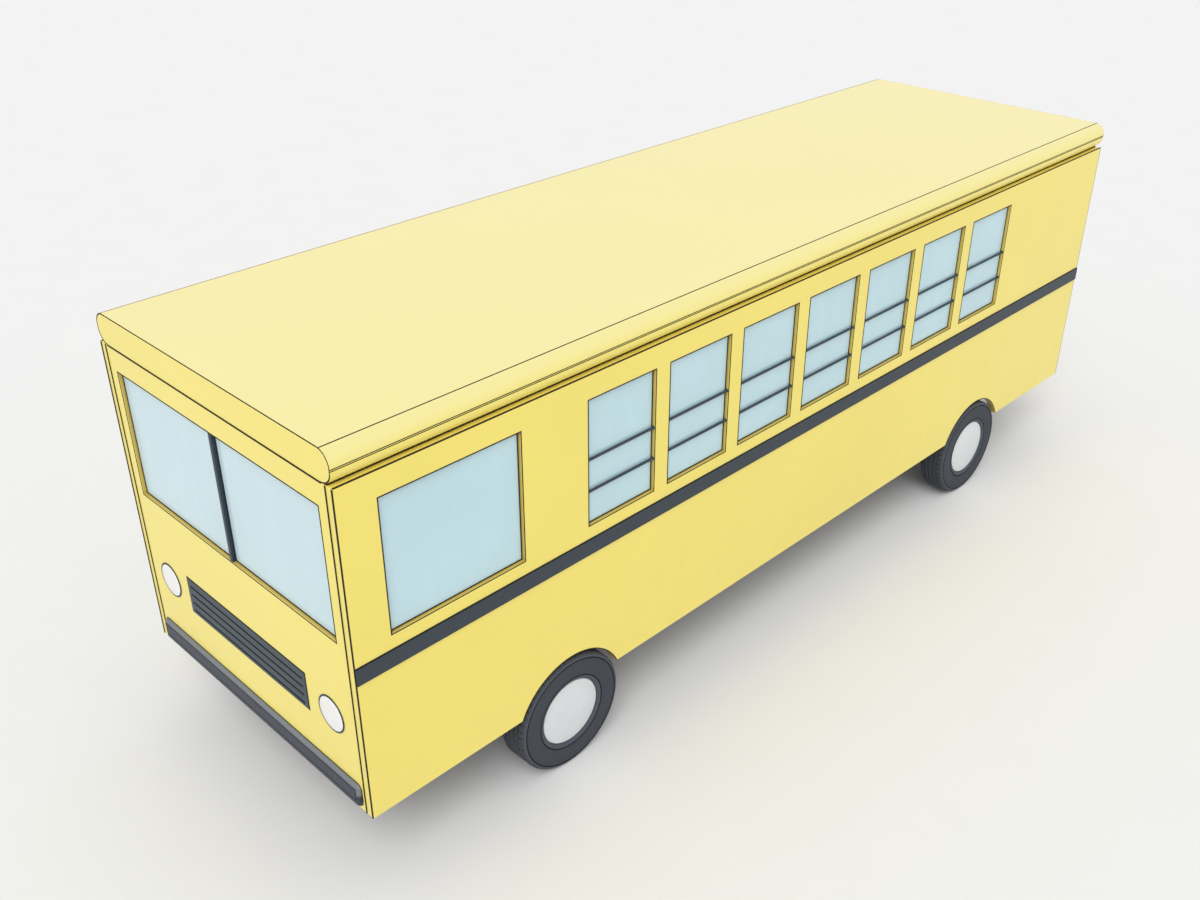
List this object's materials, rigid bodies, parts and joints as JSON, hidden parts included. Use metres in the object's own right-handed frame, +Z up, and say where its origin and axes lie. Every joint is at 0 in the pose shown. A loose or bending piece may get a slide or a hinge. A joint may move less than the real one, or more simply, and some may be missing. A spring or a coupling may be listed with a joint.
{
  "type": "school bus",
  "caption": "Short flat-nosed yellow school bus with barred side windows, hinged doors, steered front wheels and rolling wheels.",
  "frame": {"origin": "centre of the whole bus's box on the ground, midway between the bumpers' faces", "axes": "+Z up, -Y towards the front, +X towards the bus's left (driver's) side"},
  "size_m": [2.4604, 8.198, 3.067],
  "materials": {
    "side_paint": "gloss",
    "front_paint": "gloss",
    "roof_paint": "gloss",
    "floor_rubber": "matt",
    "frame_steel": "satin",
    "bumper_steel": "satin",
    "rail_steel": "satin",
    "grille_steel": "satin",
    "head_lens": "clear",
    "tail_lens": "gloss",
    "window_glass": "clear",
    "post_rubber": "satin",
    "bar_steel": "satin",
    "seat_steel": "satin",
    "seat_vinyl": "satin",
    "dash_plastic": "matt",
    "cover_plastic": "matt",
    "engine_iron": "matt",
    "tyre_rubber": "matt",
    "wheel_paint": "satin",
    "axle_iron": "matt",
    "spring_steel": "matt",
    "tank_steel": "satin",
    "step_steel": "matt",
    "door_paint": "gloss",
    "wheel_plastic": "matt"
  },
  "bodies": {
    "coach": {"side_panel_left": "side_paint", "side_panel_right": "side_paint", "front_panel": "front_paint", "rear_panel": "front_paint", "roof": "roof_paint", "floor_deck": "floor_rubber", "frame_rails": "frame_steel", "floor_bearers": "frame_steel", "leaf_springs": "spring_steel", "front_bumper": "bumper_steel", "rear_bumper": "bumper_steel", "rub_rails": "rail_steel", "grille": "grille_steel", "headlamps": "head_lens", "tail_lamps": "tail_lens", "windscreen_mullion": "post_rubber", "windscreen_glass": "window_glass", "window_glass": "window_glass", "guard_bars": "bar_steel", "front_axle": "axle_iron", "rear_axle": "axle_iron", "engine_block": "engine_iron", "engine_cover": "cover_plastic", "drive_shaft": "frame_steel", "exhaust": "axle_iron", "fuel_tank": "tank_steel", "entry_steps": "step_steel", "seat_frames": "seat_steel", "seat_cushions": "seat_vinyl", "dashboard": "dash_plastic", "steering_column": "wheel_plastic"},
    "left_steer": {"knuckle_left": "axle_iron"},
    "right_steer": {"knuckle_right": "axle_iron"},
    "front_left_wheel": {"front_tyre_left": "tyre_rubber", "front_wheel_left": "wheel_paint"},
    "front_right_wheel": {"front_tyre_right": "tyre_rubber", "front_wheel_right": "wheel_paint"},
    "rear_left_wheel": {"rear_tyre_left": "tyre_rubber", "rear_wheel_left": "wheel_paint"},
    "rear_right_wheel": {"rear_tyre_right": "tyre_rubber", "rear_wheel_right": "wheel_paint"},
    "service_leaf_front": {"service_door_front": "door_paint", "service_door_front_glass": "window_glass"},
    "service_leaf_rear": {"service_door_rear": "door_paint", "service_door_rear_glass": "window_glass"},
    "rear_exit": {"emergency_door": "door_paint", "emergency_door_glass": "window_glass"}
  },
  "joints": [
    {"name": "steer_left", "type": "hinge", "parent": "coach", "child": "left_steer", "pos_m": [0.985, -2.488, 0.434], "axis": [0, 0, 1], "range_deg": [-35, 35]},
    {"name": "steer_right", "type": "hinge", "parent": "coach", "child": "right_steer", "pos_m": [-0.985, -2.488, 0.434], "axis": [0, 0, 1], "range_deg": [-35, 35]},
    {"name": "spin_front_left", "type": "hinge", "parent": "left_steer", "child": "front_left_wheel", "pos_m": [1.22, -2.488, 0.434], "axis": [1, 0, 0], "continuous": true},
    {"name": "spin_front_right", "type": "hinge", "parent": "right_steer", "child": "front_right_wheel", "pos_m": [-1.22, -2.488, 0.434], "axis": [1, 0, 0], "continuous": true},
    {"name": "spin_rear_left", "type": "hinge", "parent": "coach", "child": "rear_left_wheel", "pos_m": [1.22, 2.498, 0.434], "axis": [1, 0, 0], "continuous": true},
    {"name": "spin_rear_right", "type": "hinge", "parent": "coach", "child": "rear_right_wheel", "pos_m": [-1.22, 2.498, 0.434], "axis": [1, 0, 0], "continuous": true},
    {"name": "open_service_front", "type": "hinge", "parent": "coach", "child": "service_leaf_front", "pos_m": [-1.2252, -3.8595, 0], "axis": [0, 0, 1], "range_deg": [0, 90]},
    {"name": "open_service_rear", "type": "hinge", "parent": "coach", "child": "service_leaf_rear", "pos_m": [-1.2252, -3.0245, 0], "axis": [0, 0, -1], "range_deg": [0, 90]},
    {"name": "open_rear_exit", "type": "hinge", "parent": "coach", "child": "rear_exit", "pos_m": [-0.4475, 4.0772, 0], "axis": [0, 0, 1], "range_deg": [0, 110]}
  ],
  "couplings": [
    {"joint": "steer_right", "follows": "steer_left", "ratio": 1},
    {"joint": "open_service_rear", "follows": "open_service_front", "ratio": 1}
  ]
}
